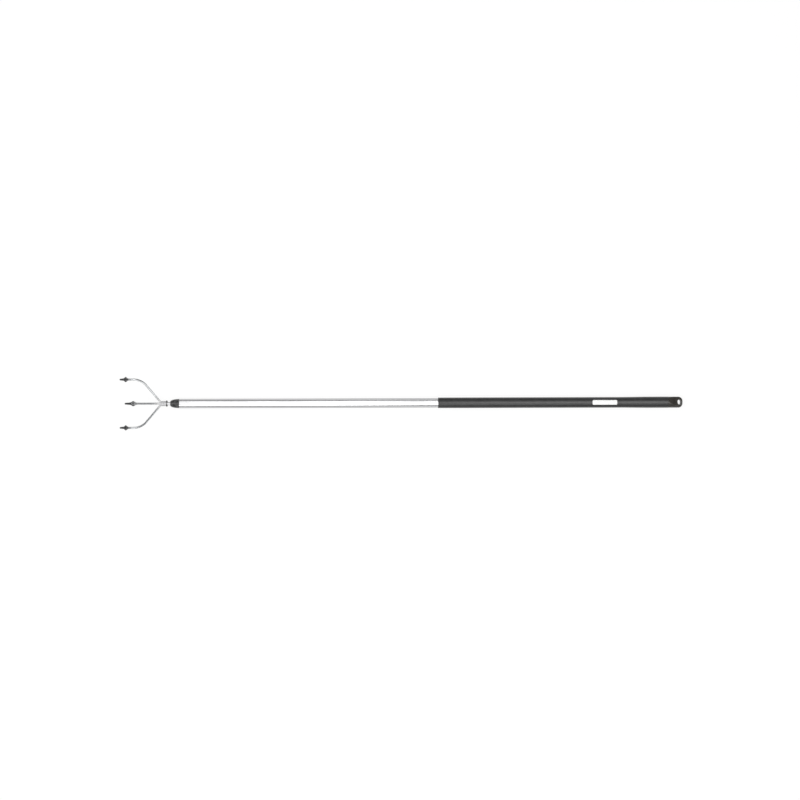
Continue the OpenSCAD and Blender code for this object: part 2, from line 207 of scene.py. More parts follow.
turned_steel = plain_finish("turned_steel", dull_steel, roughness=0.5, metallic=0.4)
hub_rings = grain(turned_steel, size=0.35 * MM, stretch=(1, 60, 60))
hub_stain = grain(turned_steel, size=5 * MM)
drive(
    turned_steel,
    Base_Color=tinted(turned_steel, hub_stain, dull_steel_dark, dull_steel),
    Roughness=between(turned_steel, hub_rings, low=0.46, high=0.58),
    Normal=relief(turned_steel, hub_rings, depth=0.02 * MM),
)
hub_outline = barrel(hub_low.x, hub_high.x, 0, hub_r, hub_edge)
claw_hub = skin("claw_hub_turned", [turned(hub_outline, sides=72)])
claw_hub.data.materials.append(turned_steel)
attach(claw_hub, "root")
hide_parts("claw_hub")


# Tang
# A round bar of bright drawn steel, pressed and welded into the back of the hub. Only its short
# neck shows; the rest runs through the nose cap and the bush inside the tube.
tang_low, tang_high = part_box("tang")
tang_r = (tang_high.z - tang_low.z) / 2
tang_edge = 0.6 * MM
tang_bright = (0.74, 0.74, 0.75)
tang_shade = (0.68, 0.68, 0.69)

drawn_bar = plain_finish("drawn_bar", tang_bright, roughness=0.25, metallic=1.0)
bar_lines = grain(drawn_bar, size=0.4 * MM, stretch=(60, 1, 1))
drive(
    drawn_bar,
    Base_Color=tinted(drawn_bar, bar_lines, tang_shade, tang_bright),
    Roughness=between(drawn_bar, bar_lines, low=0.26, high=0.36),
)
tang_outline = barrel(tang_low.x, tang_high.x, 0, tang_r, tang_edge)
tang = skin("tang_bar", [turned(tang_outline, sides=64)])
tang.data.materials.append(drawn_bar)
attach(tang, "root")
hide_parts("tang")


# Tines
# Three round rods of zinc plated spring steel, painted paler, duller and less metallic beside the hub:
# that patch is painted light. Each rises and is hooked down to an end hammered flat for the tip; the
# outer two are first bent parallel.
rod_r = 3 * MM
root_depth = 5 * MM
root = np.array([hub_low.x + root_depth, 0, axis_z])
spread = 67.5 * MM
rise = np.radians(19.7)
splay = np.radians(50.5)
splay_bend = 44 * MM
outer_bend = 14 * MM
centre_bend = 7 * MM
outer_run = 5.5 * MM
outer_hook = np.radians(60)
centre_hook = np.radians(45)
ramp_len = 3 * MM
pad_len = 15 * MM
pad_half_w = 3.75 * MM
pad_half_t = 1.6 * MM
pad_blend = 2 * MM
pad_end_share = 0.75
pad_square = 3
tip_gap = 0.5 * MM
tip_len = 46 * MM
point_t = 0.9 * MM
coat_len = 29 * MM
coat_fade = 7 * MM
coat_share = {"left": 1.0, "center": 0.4, "right": 1.0}
# Painted light beside the hub: the length within which each rod is painted paler, duller and less
# metallic, and the run over which that fades.
painted_light_len = 31 * MM
painted_light_fade = 21 * MM
painted_light_rough = 0.42
rod_step = 0.8 * MM
zinc_light = (0.60, 0.61, 0.62)
zinc_dark = (0.48, 0.49, 0.50)
# Painted light: the paler grey painted on the rods beside the hub.
painted_light_grey = (0.69, 0.69, 0.69, 1)
black_coat = (0.032, 0.032, 0.033, 1)


def bent_path(corners, radii, arc_points=60):
    """Middle line of a bent rod, as even points: straight runs from corner to corner, and at each
    inner corner an arc of its radius that touches both runs."""
    runs = [corners[:1]]
    for before, corner, after, radius in zip(corners, corners[1:], corners[2:], radii):
        back = (before - corner) / np.linalg.norm(before - corner)
        ahead = (after - corner) / np.linalg.norm(after - corner)
        turn = np.pi - np.arccos(back @ ahead)
        start = corner + back * radius * np.tan(turn / 2)
        middle = corner + (back + ahead) / np.linalg.norm(back + ahead) * radius / np.cos(turn / 2)
        angle = np.linspace(0, turn, arc_points)[:, None]
        runs.append(middle + (start - middle) * np.cos(angle) - back * radius * np.sin(angle))
    line = np.concatenate([*runs, corners[-1:]])
    length = np.r_[0, np.cumsum(np.linalg.norm(np.diff(line, axis=0), axis=1))]
    even = np.linspace(0, length[-1], int(length[-1] / rod_step))
    return np.stack([np.interp(even, length, line[:, axis]) for axis in range(3)], axis=-1)


def hooked_corners(side):
    """Corners of a tine's middle line: the root in the hub, the splay bend where it has one, the
    hook bend and the end of the flattened pad. Side is -1, 0 or 1. The hook bend stands as high as
    the leg and the tip below it reach down, so that the point touches the ground."""
    hook = outer_hook if side else centre_hook
    setback = outer_bend * np.tan(hook / 2) if side else centre_bend * np.tan((hook + rise) / 2)
    leg = setback + ramp_len + tip_gap + tip_len
    height = leg * np.sin(hook) + (pad_half_t + point_t) * np.cos(hook) - axis_z
    if side:
        splay_corner = root + [-spread / np.tan(splay), side * spread, height]
        slope = (root - splay_corner) / np.linalg.norm(root - splay_corner)
        run = splay_bend * np.tan(np.arccos(slope[0]) / 2) + outer_run + setback
        corners = [root, splay_corner, splay_corner - [run, 0, 0]]
    else:
        corners = [root, root + [-height / np.tan(rise), 0, height]]
    down = np.array([-np.cos(hook), 0, -np.sin(hook)])
    pad_start = corners[-1] + down * (setback + ramp_len)
    return np.array([*corners, pad_start + down * pad_len]), pad_start, down


def hammered_rod(path, sides=40):
    """Rings of a tine, and as marks their straight coordinates and the shares of black coat near the
    end and of painted light, a paler and duller patch, near the root. The section is |v/a|^p + |w/b|^p =
    1:
    a circle along the rod, and towards its end wider, thinner and squarer, with a half-round end."""
    step = np.linalg.norm(path[1] - path[0])
    run = np.arange(len(path)) * step
    left = run[-1] - run
    flat = np.clip((pad_len + ramp_len - left) / (ramp_len + pad_blend), 0, 1)
    flat = (flat * flat * (3 - 2 * flat))[:, None]
    end = np.sqrt(np.clip(1 - np.clip(1 - left / pad_half_w, 0, 1) ** 2, 0, 1))[:, None]
    half_w = (rod_r + (pad_half_w - rod_r) * flat) * end
    half_t = (rod_r + (pad_half_t - rod_r) * flat) * (pad_end_share + (1 - pad_end_share) * end)
    power = 2 / (2 + pad_square * flat)
    ahead = np.gradient(path, axis=0)
    ahead /= np.linalg.norm(ahead, axis=1, keepdims=True)
    across = np.array([0, 1, 0]) - ahead * ahead[:, 1:2]
    across /= np.linalg.norm(across, axis=1, keepdims=True)
    upward = np.cross(ahead, across)
    turn = np.linspace(0, 2 * np.pi, sides, endpoint=False)[None, :]
    v = half_w * np.sign(np.cos(turn)) * np.abs(np.cos(turn)) ** power
    w = half_t * np.sign(np.sin(turn)) * np.abs(np.sin(turn)) ** power
    rings = path[:, None] + v[..., None] * across[:, None] + w[..., None] * upward[:, None]
    closed_root = np.broadcast_to(path[0], (1, sides, 3))
    straight = np.stack([np.broadcast_to(run[:, None], v.shape), v, w], axis=-1)
    straight = np.concatenate([straight[:1] * 0, straight])
    coat = np.clip((coat_len - np.r_[left[0], left]) / coat_fade, 0, 1)
    # Share of the painted light near the root: full at the hub, fading to nothing along the rod.
    painted_light_share = np.clip((painted_light_len - np.r_[0, run]) / painted_light_fade, 0, 1)
    marks = {
        "straight": straight.reshape(-1, 3),
        "coat": np.repeat(coat, sides),
        "painted_light_share": np.repeat(painted_light_share, sides),
    }
    return np.concatenate([closed_root, rings]), marks


zinc_rod = plain_finish("zinc_rod", zinc_light, roughness=0.3, metallic=1.0)
rod_lines = grain(zinc_rod, size=0.5 * MM, stretch=(50, 1, 1), mark="straight")
zinc_cloud = grain(zinc_rod, size=6 * MM)
coat = wire(zinc_rod, "Attribute", {}, attribute_name="coat").outputs["Fac"]
painted_light_share = wire(zinc_rod, "Attribute", {}, attribute_name="painted_light_share").outputs["Fac"]
# Zinc grey, painted paler near the hub as painted light; there the rod is also rougher and less metallic.
plated_and_painted_light = patched(zinc_rod, painted_light_share, tinted(zinc_rod, zinc_cloud, zinc_dark, zinc_light), painted_light_grey)
smooth = between(zinc_rod, rod_lines, low=0.14, high=0.19)
dulled = wire(zinc_rod, "Math", {0: painted_light_share, 1: painted_light_rough, 2: smooth}, operation="MULTIPLY_ADD")
drive(
    zinc_rod,
    Base_Color=patched(zinc_rod, coat, plated_and_painted_light, black_coat),
    Roughness=dulled.outputs["Value"],
    Metallic=between(zinc_rod, painted_light_share, low=1, high=0.4, start=0, stop=1),
    Normal=relief(zinc_rod, rod_lines, depth=0.015 * MM),
)
hooks = {}
for place, side in (("left", -1), ("center", 0), ("right", 1)):
    corners, pad_start, down = hooked_corners(side)
    path = bent_path(corners, [splay_bend, outer_bend] if side else [centre_bend])
    rings, marks = hammered_rod(path)
    marks["coat"] *= coat_share[place]
    tine = skin(f"{place}_tine_rod", [rings], loop=False, marks=marks)
    tine.data.materials.append(zinc_rod)
    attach(tine, "root")
    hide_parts(f"{place}_tine")
    out = (corners[1] - corners[0]) / np.linalg.norm(corners[1] - corners[0])
    hooks[place] = (pad_start, down, out)


# Weld beads
# Rippled fillet beads of weld metal, run by hand round each tine at the hub and round the tang behind
# it. The one on the tang is thick on its two sides, and the heat has darkened it.
tine_bead_r = 0.7 * MM
tang_bead_r = 2.4 * MM
tang_bead_back = 0.6 * MM
tang_bead_thin_r = 0.6 * MM
tang_bead_lift = 0.4
tang_bead_points = 240
tine_bead_sink = 0.3 * MM
ripple_len = 1.7 * MM
ripple_share = 0.14
weld_grey = (0.52, 0.52, 0.52)
weld_light = (0.64, 0.64, 0.65)
burnt_dark = (0.04, 0.038, 0.036)
burnt_light = (0.16, 0.155, 0.15)


def bead(line, outward, bead_r, sides=14):
    """Rings of a weld bead along a closed line: a round section that swells and thins by a sine of
    the length run, so that each ripple is a scale of the weld."""
    ahead = np.roll(line, -1, axis=0) - np.roll(line, 1, axis=0)
    step = np.linalg.norm(ahead, axis=1) / 2
    ahead /= np.linalg.norm(ahead, axis=1, keepdims=True)
    run = np.cumsum(step)
    ripples = np.round(run[-1] / ripple_len)
    swell = bead_r * (1 + ripple_share * np.sin(2 * np.pi * ripples * run / run[-1]))
    third = np.cross(ahead, outward)
    turn = np.linspace(0, 2 * np.pi, sides, endpoint=False)[None, :, None]
    spoke = np.cos(turn) * outward[:, None] + np.sin(turn) * third[:, None]
    return line[:, None] + swell[:, None, None] * spoke


def rod_exit(out, points=160):
    """Line round a tine where it leaves the hub, and the outward directions along it. A ray along
    the rod's side leaves through the hub's round side or its front, whichever comes first."""
    across = np.array([0, 1, 0]) - out * out[1]
    across /= np.linalg.norm(across)
    turn = np.linspace(0, 2 * np.pi, points, endpoint=False)[:, None]
    outward = np.cos(turn) * across + np.sin(turn) * np.cross(out, across)
    foot = root + rod_r * outward
    y, z = foot[:, 1], foot[:, 2] - axis_z
    a = out[1] ** 2 + out[2] ** 2
    b = y * out[1] + z * out[2]
    to_side = (np.sqrt(b * b - a * (y * y + z * z - hub_r ** 2)) - b) / a
    to_front = (hub_low.x - foot[:, 0]) / out[0]
    run = np.minimum(to_side, to_front) - tine_bead_sink
    return foot + run[:, None] * out, outward


def weld_metal(name, dark, light, metallic):
    """Rippled weld metal, scaled by the heat from light to dark."""
    made = plain_finish(name, light, roughness=0.42, metallic=metallic)
    scale = grain(made, size=1.2 * MM)
    drive(
        made,
        Base_Color=tinted(made, scale, dark, light),
        Roughness=between(made, scale, low=0.55, high=0.35),
        Normal=relief(made, grain(made, size=0.4 * MM), depth=0.06 * MM),
    )
    return made


tine_beads = skin("tine_weld_beads", [bead(*rod_exit(out), tine_bead_r) for _, _, out in hooks.values()])
tine_beads.data.materials.append(weld_metal("weld_bright", weld_grey, weld_light, metallic=0.4))
turn = np.linspace(0, 2 * np.pi, tang_bead_points, endpoint=False)[:, None]
spokes = np.cos(turn) * np.array([0, 0, 1.0]) + np.sin(turn) * np.array([0, 1.0, 0])
thick = tang_bead_thin_r + (tang_bead_r - tang_bead_thin_r) * np.sin(turn) ** 2
tang_ring = np.array([hub_high.x + tang_bead_back, 0, axis_z]) + (tang_r + tang_bead_lift * thick) * spokes
tang_bead = skin("tang_weld_bead", [bead(tang_ring, spokes, thick[:, 0])])
tang_bead.data.materials.append(weld_metal("weld_burnt", burnt_dark, burnt_light, metallic=1.0))
for beads in (tine_beads, tang_bead):
    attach(beads, "root")


# Tips
# Three arrow-shaped tips forged from carbon steel and blackened. Each lies under its tine's pad,
# thins towards its point and its edges, and is worn bright where it meets the soil.
tip_half_w = 7.5 * MM
tip_back_half_w = 3.2 * MM
wing_at = 13 * MM
flank_len = 13.5 * MM
nib_half_w = 3.1 * MM
point_half_w = 2.3 * MM
tip_t = 3 * MM
taper_len = 24 * MM
land_half_w = 4.25 * MM
land_share = 0.75
edge_slope = 2 / 3.25
tip_edge = 0.45 * MM
tip_edge_shares = (1, 1, 0.8, 1.2, 1.2, 0.8)
tip_inset = (0.3 * MM, 0, 0.2 * MM)
tip_inset_shares = (1, 0.9, 0.85)
top_band = 0.1 * MM
top_wear = 0.25
edge_wear = 0.6
soil_wear = 0.5
soil_from = 0.55
black_oxide = (0.023, 0.023, 0.024)
black_worn = (0.047, 0.047, 0.048)
bare_edge = (0.16, 0.16, 0.16, 1)


def forged_tip(rows=150, corner_steps=8):
    """Sections of a tip along its length u, in its own u, v, w, and how worn each point is. The half
    width h widens straight to the wings, falls by a parabola to the nib, narrows to the point and
    ends in a half circle; a section has a flat land on top and sloped flanks beside it. Wear grows
    on the edges, less so on top, and along the part that enters the soil."""
    u = tip_len * (1 - np.cos(np.linspace(0, np.pi, rows))) / 2
    back = tip_back_half_w + (tip_half_w - tip_back_half_w) * u / wing_at
    s = np.clip((u - wing_at) / flank_len, 0, 1)
    flank = nib_half_w + (tip_half_w - nib_half_w) * (1 - s) ** 2
    nib_at = wing_at + flank_len
    nib = nib_half_w + (point_half_w - nib_half_w) * (u - nib_at) / (tip_len - point_half_w - nib_at)
    h = np.where(u < wing_at, back, np.where(u < nib_at, flank, nib))
    over = np.clip((u - (tip_len - point_half_w)) / point_half_w, 0, 1)
    h = h * np.sqrt(1 - over ** 2)
    thick = tip_t + (point_t - tip_t) * np.clip((u - (tip_len - taper_len)) / taper_len, 0, 1)
    land = np.minimum(land_half_w, land_share * h)
    brow = -edge_slope * (h - land)
    zero = np.zeros_like(u)
    v = np.stack([-h, h, h, land, -land, -h], axis=-1)
    w = np.stack([-thick, -thick, brow, zero, zero, brow], axis=-1)
    cut = tip_edge * np.minimum(1, np.minimum(h / tip_back_half_w, thick / tip_t))[:, None]
    section = eased(np.stack([v, w], axis=-1), cut * np.array(tip_edge_shares), steps=corner_steps)
    along = np.broadcast_to(u[:, None, None], (*section.shape[:2], 1))
    sections = np.concatenate([along, section], axis=-1)
    inset = sections[:1] * tip_inset_shares - tip_inset
    sections = np.concatenate([inset.mean(axis=1, keepdims=True) + 0 * inset, inset, sections])
    edges = np.tile([0, *[1] * (corner_steps + 1), 0], len(tip_edge_shares))
    worn = edges * np.where(sections[..., 2] > -top_band, top_wear, 1)
    soil = np.clip((sections[..., 0] / tip_len - soil_from) / (1 - soil_from), 0, 1)
    return sections, np.clip(edge_wear * worn + soil_wear * soil, 0, 1).ravel()


def hook_frame(down):
    """Directions along the pad, across it and up from it, as rows."""
    across = np.array([0, 1, 0])
    return np.stack([down, across, np.cross(across, down)])


forged_black = plain_finish("forged_black", black_oxide, roughness=0.5, metallic=0.3, specular=0.4)
forge_marks = grain(forged_black, size=2.5 * MM)
worn_mark = wire(forged_black, "Attribute", {}, attribute_name="worn").outputs["Fac"]
scuffs = grain(forged_black, size=1.2 * MM, detail=5.0)
wear = wire(forged_black, "Math", {0: worn_mark, 1: scuffs}, operation="MULTIPLY").outputs["Value"]
dark_skin = tinted(forged_black, forge_marks, black_oxide, black_worn)
bared = between(forged_black, wear, low=0, high=1, start=0.2, stop=0.5)
drive(
    forged_black,
    Base_Color=patched(forged_black, bared, dark_skin, bare_edge),
    Roughness=between(forged_black, wear, low=0.55, high=0.36, start=0.2, stop=0.5),
    Normal=relief(forged_black, forge_marks, depth=0.12 * MM),
)
for place, (pad_start, down, _) in hooks.items():
    sections, worn = forged_tip()
    rows = pad_start + (sections + [tip_gap, 0, -pad_half_t]) @ hook_frame(down)
    tip = skin(f"{place}_tip_forged", [rows], loop=False, marks={"worn": worn})
    tip.data.materials.append(forged_black)
    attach(tip, "root")
    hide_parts(f"{place}_tip")


# Tip rivets
# Three solid steel rivets, one through each pad and the tip under it. Each is set from both sides to a
# round head, and the outer two are blackened with their tips.
rivet_r = 1.6 * MM
rivet_head_r = 3 * MM
rivet_head_h = 1.4 * MM
rivet_at = 8 * MM
rivet_grey = (0.30, 0.30, 0.31)
rivet_dark = (0.09, 0.09, 0.09)


def domed(height, radius, points):
    """Outline of a round head: a quarter of an ellipse from its top to its rim."""
    angle = np.linspace(0, np.pi / 2, points)[:, None]
    return np.concatenate([height * np.cos(angle), radius * np.sin(angle)], axis=1)


set_rivet = plain_finish("set_rivet", rivet_grey, roughness=0.4, metallic=1.0)
rivet_marks = grain(set_rivet, size=1.5 * MM)
rivet_coat = wire(set_rivet, "Attribute", {}, attribute_name="coat").outputs["Fac"]
rivet_skin = tinted(set_rivet, rivet_marks, rivet_dark, rivet_grey)
drive(
    set_rivet,
    Base_Color=patched(set_rivet, rivet_coat, rivet_skin, black_coat),
    Roughness=between(set_rivet, rivet_marks, low=0.5, high=0.34),
    Normal=relief(set_rivet, rivet_marks, depth=0.04 * MM),
)
rivet_head = domed(rivet_head_h, rivet_head_r, points=14)
upper_head = rivet_head + [pad_half_t, 0]
lower_head = rivet_head[::-1] * [-1, 1] - [pad_half_t + tip_t, 0]
shank = [(pad_half_t, rivet_r), (-pad_half_t - tip_t, rivet_r)]
rivet_outline = np.concatenate([upper_head, shank, lower_head])
rivets = []
for pad_start, down, _ in hooks.values():
    along, _, up = hook_frame(down)
    foot = pad_start + rivet_at * along
    rivets.append(turned(rivet_outline, sides=40, foot=foot, along=up, side=along))
coated = np.repeat([coat_share[place] for place in hooks], rivets[0].shape[0] * rivets[0].shape[1])
tip_rivets = skin("tip_rivets_set", rivets, loop=False, marks={"coat": coated})
tip_rivets.data.materials.append(set_rivet)
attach(tip_rivets, "root")
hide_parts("tip_rivets")


# Tang bush
# A plain turned bush of black nylon, pushed into the tube behind the nose cap. It is out of sight, and
# keeps the tang in the middle of the tube.
nylon_light = (0.085, 0.085, 0.085)
nylon_dark = (0.065, 0.065, 0.065)

nylon = plain_finish("nylon", nylon_light, roughness=0.5)
nylon_cloud = grain(nylon, size=3 * MM)
drive(
    nylon,
    Base_Color=tinted(nylon, nylon_cloud, nylon_dark, nylon_light),
    Roughness=between(nylon, nylon_cloud, low=0.42, high=0.58),
)
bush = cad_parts["tang_bush"]
for bush_slot in bush.material_slots:
    bush_slot.material = nylon


# Nose cap
# A moulded cap of black nylon that plugs the front of the tube. It is rounded like a thimble, is
# flush with the tube at its back, and has a fine spark-eroded texture.
tube_low, tube_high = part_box("tube")
tube_r = (tube_high.z - tube_low.z) / 2
nose_low, nose_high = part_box("nose_cap")
nose_spigot_r = 11.55 * MM
nose_play = 0.1 * MM
nose_rim = 0.3 * MM
nose_bore_r = tang_r + nose_play
nose_tip_r = nose_bore_r + nose_rim
nose_edge = 0.35 * MM
black_nylon = (0.010, 0.010, 0.0103)
black_nylon_worn = (0.055, 0.055, 0.0555)


def moulded(name, dark, light, patch, depth, rough):
    """Moulded plastic: an even fine texture of that depth, and patches of that size which go from
    dark to light where hands and use have rubbed it."""
    made = plain_finish(name, light, roughness=rough, specular=0.6)
    texture = grain(made, size=0.7 * MM, detail=2.0)
    rubbed = grain(made, size=patch, detail=4.0)
    drive(
        made,
        Base_Color=tinted(made, rubbed, dark, light, start=0.42, stop=0.58),
        Roughness=between(made, texture, low=rough - 0.06, high=rough + 0.08),
        Normal=relief(made, texture, depth=depth),
    )
    return made


nose_sweep = np.linspace(0, np.pi / 2, 48)
nose_side = np.stack([
    tube_low.x - (tube_low.x - nose_low.x) * np.cos(nose_sweep),
    nose_tip_r + (tube_r - nose_tip_r) * np.sin(nose_sweep),
], axis=-1)
nose_back = [
    (tube_low.x, tube_r - nose_edge),
    (tube_low.x, nose_spigot_r),
    (nose_high.x, nose_spigot_r),
    (nose_high.x, nose_bore_r),
]
nose_seam = nose_side[-1:] - [nose_edge, 0]
nose_mouth = [(nose_low.x + nose_edge, nose_bore_r)]
nose_outline = np.concatenate([nose_side[:-1], nose_seam, nose_back, nose_mouth])
nose_cap = skin("nose_cap_moulded", [turned(nose_outline, sides=96)])
nose_nylon = moulded(
    "nose_nylon", black_nylon, black_nylon_worn, patch=7 * MM, depth=0.03 * MM, rough=0.32
)
nose_cap.data.materials.append(nose_nylon)
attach(nose_cap, "root")
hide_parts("nose_cap")


# Shaft tube
# A drawn aluminium tube, clear anodised to a satin finish, with faint draw lines along it. The nose
# cap plugs its front, and the sleeve and the end cap cover its rear half.
tube_wall = 1.2 * MM
tube_edge = 0.3 * MM
satin_light = (0.70, 0.70, 0.71)
satin_dark = (0.65, 0.65, 0.66)
satin_edge = (0.2, 0.2, 0.2, 1)

satin_tube = plain_finish("satin_tube", satin_light, roughness=0.2, metallic=1.0)
satin_tube.node_tree.nodes["Principled BSDF"].inputs["Specular Tint"].default_value = satin_edge
draw_lines = grain(satin_tube, size=0.5 * MM, stretch=(400, 1, 1))
handling = grain(satin_tube, size=40 * MM, stretch=(3, 1, 1))
drive(
    satin_tube,
    Base_Color=tinted(satin_tube, draw_lines, satin_dark, satin_light),
    Roughness=between(satin_tube, handling, low=0.13, high=0.18),
    Normal=relief(satin_tube, draw_lines, depth=0.006 * MM),
)
tube_outline = barrel(tube_low.x, tube_high.x, tube_r - tube_wall, tube_r, tube_edge)
tube = skin("tube_drawn", [turned(tube_outline, sides=128)])
tube.data.materials.append(satin_tube)
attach(tube, "root")
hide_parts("tube")


# Cross pin
# A hardened steel pin driven through the tube, the bush and the tang. Its ends are domed over, a
# little proud of the tube's sides.
pin_low, pin_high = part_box("tang_pin")
pin_r = (pin_high.x - pin_low.x) / 2
pin_x = (pin_low.x + pin_high.x) / 2
pin_rim_in = 0.25 * MM
pin_rim = pin_high.y - pin_rim_in
pin_dome = 0.5 * MM

pin_end = domed(pin_dome, pin_r, points=10) + [pin_rim, 0]
pin_outline = np.concatenate([pin_end, pin_end[::-1] * [-1, 1]])
pin_rings = turned(pin_outline, sides=40, foot=(pin_x, 0, axis_z), along=(0, 1, 0), side=(0, 0, 1))
cross_pin = skin("tang_pin_driven", [pin_rings], loop=False)
cross_pin.data.materials.append(drawn_bar)
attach(cross_pin, "root")
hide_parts("tang_pin")


# Grip sleeve
# A long sleeve of dark grey moulded plastic, pushed over the rear of the tube. It is round, has a
# fine grained texture, and swells gently towards the end cap to fill the hand.
sleeve_low, sleeve_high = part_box("grip_sleeve")
grip_r = 14.7 * MM
grip_back_r = (sleeve_high.z - sleeve_low.z) / 2
grip_bore_r = 12.85 * MM
grip_back_len = 50 * MM
swell_len = 90 * MM
grip_edge = 0.8 * MM
grip_back_edge = 0.3 * MM
grip_dark = (0.012, 0.012, 0.0123)
grip_light = (0.018, 0.018, 0.0183)

swell_stop = sleeve_high.x - grip_back_len
swell_start = swell_stop - swell_len


def grip_radius(x):
    """Radius of the sleeve at x: an S-shaped ease from the slim part to the thick one."""
    s = np.clip((x - swell_start) / swell_len, 0, 1)
    return grip_r + (grip_back_r - grip_r) * s * s * (3 - 2 * s)


grip_x = np.linspace(sleeve_low.x + 2 * grip_edge, sleeve_high.x - 2 * grip_back_edge, 160)
grip_side = np.stack([grip_x, grip_radius(grip_x)], axis=-1)
grip_ends = eased(
    [
        (sleeve_high.x, grip_back_r),
        (sleeve_high.x, grip_bore_r),
        (sleeve_low.x, grip_bore_r),
        (sleeve_low.x, grip_r),
    ],
    [grip_back_edge, grip_back_edge, grip_edge / 2, grip_edge],
)
grip_outline = np.concatenate([grip_side, grip_ends])
grip_sleeve = skin("grip_sleeve_moulded", [turned(grip_outline, sides=128)])
grip_grey = moulded("grip_grey", grip_dark, grip_light, patch=14 * MM, depth=0.02 * MM, rough=0.36)
grip_sleeve.data.materials.append(grip_grey)
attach(grip_sleeve, "root")
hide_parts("grip_sleeve")


# Grip label
# A blank label of thin white film with round corners. It is stuck along the top of the sleeve, just
# ahead of its swell, and follows its round.
label_low, label_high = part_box("grip_label")
label_half_w = 6.6 * MM
label_corner = 2.8 * MM
label_glue = 0.05 * MM
label_t = 0.25 * MM
label_lines = 60
film_white = (0.86, 0.86, 0.855)
film_shade = (0.82, 0.82, 0.815)

label_mid = (label_low.x + label_high.x) / 2
label_half_l = (label_high.x - label_low.x) / 2
across = label_half_w * np.sin(np.linspace(-np.pi / 2, np.pi / 2, label_lines))
into_corner = np.clip(np.abs(across) - (label_half_w - label_corner), 0, label_corner)
half_l = label_half_l - label_corner + np.sqrt(label_corner ** 2 - into_corner ** 2)
along = np.r_[-1, np.linspace(-1, 1, label_lines), 1][:, None]


def label_face(height):
    """Points of the film at a height over the sleeve: lines along the shaft, shorter where they run
    into the round corners, laid on the sleeve's round top."""
    x = label_mid + along * half_l
    y = np.broadcast_to(across, x.shape)
    return np.stack([x, y, axis_z + np.sqrt((grip_radius(x) + height) ** 2 - y ** 2)], axis=-1)


film_top = label_face(label_glue + label_t)
film_under = label_face(label_glue)
film_top[[0, -1]] = film_under[[0, -1]]
label_rings = np.concatenate([film_top, film_under[:, ::-1]], axis=1)
film = plain_finish("label_film", film_white, roughness=0.38)
film_cloud = grain(film, size=9 * MM)
drive(
    film,
    Base_Color=tinted(film, film_cloud, film_shade, film_white),
    Roughness=between(film, film_cloud, low=0.34, high=0.44),
    Normal=relief(film, grain(film, size=2.5 * MM), depth=0.01 * MM),
)
grip_label = skin("grip_label_film", [label_rings], loop=False)
grip_label.data.materials.append(film)
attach(grip_label, "root")
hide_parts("grip_label")


# End cap
# A moulded cap of warm black nylon, pushed into the end of the tube by a hollow spigot. A slanted
# flat across its top runs out level, and an oval hole to hang the tool by leans through its end.
cap_low, cap_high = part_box("end_cap")
cap_seam = sleeve_high.x
cap_r = (cap_high.y - cap_low.y) / 2
cap_len = 39.4 * MM
cap_round = 11.8 * MM
facet_start = 1 * MM
facet_slope = np.radians(28)
facet_turn = np.radians(26)
facet_depth = 8.5 * MM
facet_crease = 3 * MM
hang_at = 30 * MM
hang_half_l = 5.5 * MM
hang_half_w = 7.1 * MM
hang_lean = np.radians(12)
cap_edge = 0.9 * MM
hang_edge = 1.35 * MM
seam_edge = 0.45 * MM
cap_cell = 0.42 * MM
spigot_r = 11.55 * MM
spigot_wall = 2.5 * MM
spigot_edge = 0.4 * MM
spigot_reach = 1 * MM
cap_dark = (0.015, 0.0125, 0.0095)
cap_light = (0.022, 0.0185, 0.0142)


def soft_max(a, b, width):
    """The larger of two distances, rounded over where they are within the width of each other."""
    near = np.clip(width - np.abs(a - b), 0, None)
    return np.maximum(a, b) + near ** 2 / (4 * width)


def cap_field(points):
    """Distance outside the cap's skin, negative inside: a turned body with a round end, cut by the
    slanted plane, which turns level at its depth, by the leaning oval hole and by the seam's flat,
    each cut with a rounded edge."""
    x = points[..., 0] - cap_seam
    y = points[..., 1]
    z = points[..., 2] - axis_z
    end = x - (cap_len - cap_round)
    side = np.hypot(y, z) - (cap_r - cap_round)
    beyond = np.hypot(np.maximum(end, 0), np.maximum(side, 0))
    body = beyond + np.minimum(np.maximum(end, side), 0) - cap_round
    leaning = y * np.sin(facet_turn) + z * np.cos(facet_turn)
    slant = (leaning - cap_r) * np.cos(facet_slope) + (x - facet_start) * np.sin(facet_slope)
    level = leaning - (cap_r - facet_depth)
    facet = -soft_max(-slant, -level, facet_crease)
    hole_x = (x - hang_at) * np.cos(hang_lean) - z * np.sin(hang_lean)
    hole_y = np.maximum(np.abs(y) - (hang_half_w - hang_half_l), 0)
    hole = np.hypot(hole_x, hole_y) - hang_half_l
    solid = soft_max(body, facet, cap_edge)
    solid = soft_max(solid, -hole, hang_edge)
    return soft_max(solid, -x, seam_edge)


